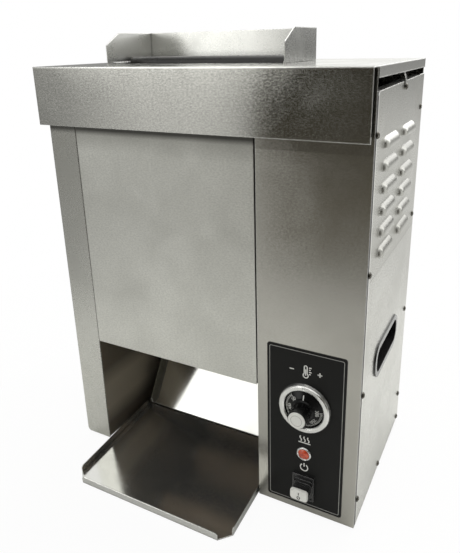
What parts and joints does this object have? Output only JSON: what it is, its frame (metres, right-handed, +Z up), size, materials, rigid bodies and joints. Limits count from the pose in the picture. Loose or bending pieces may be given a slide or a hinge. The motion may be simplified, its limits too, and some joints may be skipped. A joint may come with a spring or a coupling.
{
  "type": "vertical conveyor bun toaster",
  "caption": "Upright contact bun toaster: feeder over a slot, hot platen between conveyor belts, front chute and catch tray, control box with dial, lamp and push switch.",
  "frame": {"origin": "centre of the footprint on the table, tray and cable gland included", "axes": "+X to the right as seen from the front, towards the controls; +Y to the rear; +Z up; the front faces -Y"},
  "size_m": [0.4585, 0.3666, 0.628],
  "materials": {
    "stainless": "fine vertical brush, satin",
    "polished_steel": "mirror polish with fine scratches",
    "inner_steel": "plain mill finish, dull",
    "plated_steel": "zinc plated",
    "ground_steel": "ground bright",
    "gear_steel": "machined teeth, oiled",
    "platen_metal": "machined, darkened by heat",
    "cap_steel": "heat darkened, satin",
    "element_sheath": "heat darkened sheath",
    "roller_metal": "turned",
    "belt_rubber": "ribbed silicone, matt",
    "foot_rubber": "moulded, matt",
    "bush_bronze": "sintered bronze",
    "ceramic": "glazed ceramic",
    "motor_paint": "black enamel",
    "black_plastic": "moulded, fine grain",
    "white_plastic": "moulded, semi-gloss",
    "brown_plastic": "phenolic moulding",
    "label_black": "printed film, satin",
    "bright_ring": "turned and anodised",
    "lamp_red": "translucent moulding"
  },
  "bodies": {
    "case": {"base_plate": "inner_steel", "rubber_feet": "foot_rubber", "foot_screws": "plated_steel", "left_side_panel": "stainless", "left_inner_wall": "inner_steel", "control_inner_wall": "inner_steel", "control_front_panel": "stainless", "right_side_panel": "stainless", "rear_panel": "stainless", "top_cover": "stainless", "lid_strap": "stainless", "casing_screws": "plated_steel", "front_rail": "inner_steel", "platen_cap": "cap_steel", "front_platen_plate": "platen_metal", "rear_platen_plate": "platen_metal", "platen_mounts": "plated_steel", "platen_screws": "plated_steel", "heating_element": "element_sheath", "element_bushes": "ceramic", "front_belt": "belt_rubber", "rear_belt": "belt_rubber", "shaft_bushes": "bush_bronze", "idler_stud": "ground_steel", "gear_motor": "motor_paint", "motor_bracket": "plated_steel", "motor_pillars": "plated_steel", "chute": "polished_steel", "right_handle": "black_plastic", "left_handle": "black_plastic", "control_plate": "label_black", "dial_ring": "bright_ring", "thermostat": "brown_plastic", "lamp_body": "black_plastic", "lamp_ring": "bright_ring", "lamp_lens": "lamp_red", "switch_housing": "black_plastic", "terminal_block": "white_plastic", "cable_gland": "black_plastic"},
    "front_cover": {"front_cover": "stainless"},
    "feeder": {"bun_feeder": "stainless"},
    "tray": {"bun_tray": "polished_steel"},
    "front_drive": {"front_drive_shaft": "ground_steel", "front_drive_roller": "roller_metal", "front_drive_gear": "gear_steel"},
    "front_top": {"front_top_shaft": "ground_steel", "front_top_roller": "roller_metal"},
    "rear_drive": {"rear_drive_shaft": "ground_steel", "rear_drive_roller": "roller_metal", "rear_drive_gear": "gear_steel"},
    "rear_top": {"rear_top_shaft": "ground_steel", "rear_top_roller": "roller_metal"},
    "idler": {"idler_gear": "gear_steel"},
    "motor_output": {"motor_gear": "gear_steel"},
    "knob": {"temperature_knob": "black_plastic", "knob_cap": "white_plastic"},
    "button": {"switch_button": "black_plastic", "button_cap": "white_plastic"}
  },
  "joints": [
    {"name": "rear_drive_spin", "type": "hinge", "parent": "case", "child": "rear_drive", "pos_m": [-0.0467, 0.10511, 0.228], "axis": [1, 0, 0], "continuous": true},
    {"name": "motor_spin", "type": "hinge", "parent": "case", "child": "motor_output", "pos_m": [-0.0467, 0.06631, 0.19974], "axis": [1, 0, 0], "continuous": true},
    {"name": "idler_spin", "type": "hinge", "parent": "case", "child": "idler", "pos_m": [-0.0467, 0.01831, 0.19974], "axis": [1, 0, 0], "continuous": true},
    {"name": "front_drive_spin", "type": "hinge", "parent": "case", "child": "front_drive", "pos_m": [-0.0467, -0.02049, 0.228], "axis": [1, 0, 0], "continuous": true},
    {"name": "rear_top_spin", "type": "hinge", "parent": "case", "child": "rear_top", "pos_m": [-0.0467, 0.10511, 0.544], "axis": [1, 0, 0], "continuous": true},
    {"name": "front_top_spin", "type": "hinge", "parent": "case", "child": "front_top", "pos_m": [-0.0467, -0.02049, 0.544], "axis": [1, 0, 0], "continuous": true},
    {"name": "knob_turn", "type": "hinge", "parent": "case", "child": "knob", "pos_m": [0.1538, -0.11269, 0.171], "axis": [0, 1, 0], "range_deg": [0, 300]},
    {"name": "button_press", "type": "slide", "parent": "case", "child": "button", "axis": [0, 1, 0], "range_m": [0, 0.003], "stiffness_N_per_m": 400, "springref_m": -0.0015},
    {"name": "front_cover_lift", "type": "slide", "parent": "case", "child": "front_cover", "axis": [0, 0, 1], "range_m": [0, 0.016]},
    {"name": "feeder_lift", "type": "slide", "parent": "case", "child": "feeder", "axis": [0, 0, 1], "range_m": [0, 0.06]},
    {"name": "tray_pull", "type": "slide", "parent": "case", "child": "tray", "axis": [0, -1, 0], "range_m": [0, 0.19]}
  ],
  "couplings": [
    {"joint": "motor_spin", "follows": "rear_drive_spin", "ratio": -1},
    {"joint": "idler_spin", "follows": "rear_drive_spin", "ratio": 1},
    {"joint": "front_drive_spin", "follows": "rear_drive_spin", "ratio": -1},
    {"joint": "rear_top_spin", "follows": "rear_drive_spin", "ratio": 1},
    {"joint": "front_top_spin", "follows": "rear_drive_spin", "ratio": -1}
  ]
}
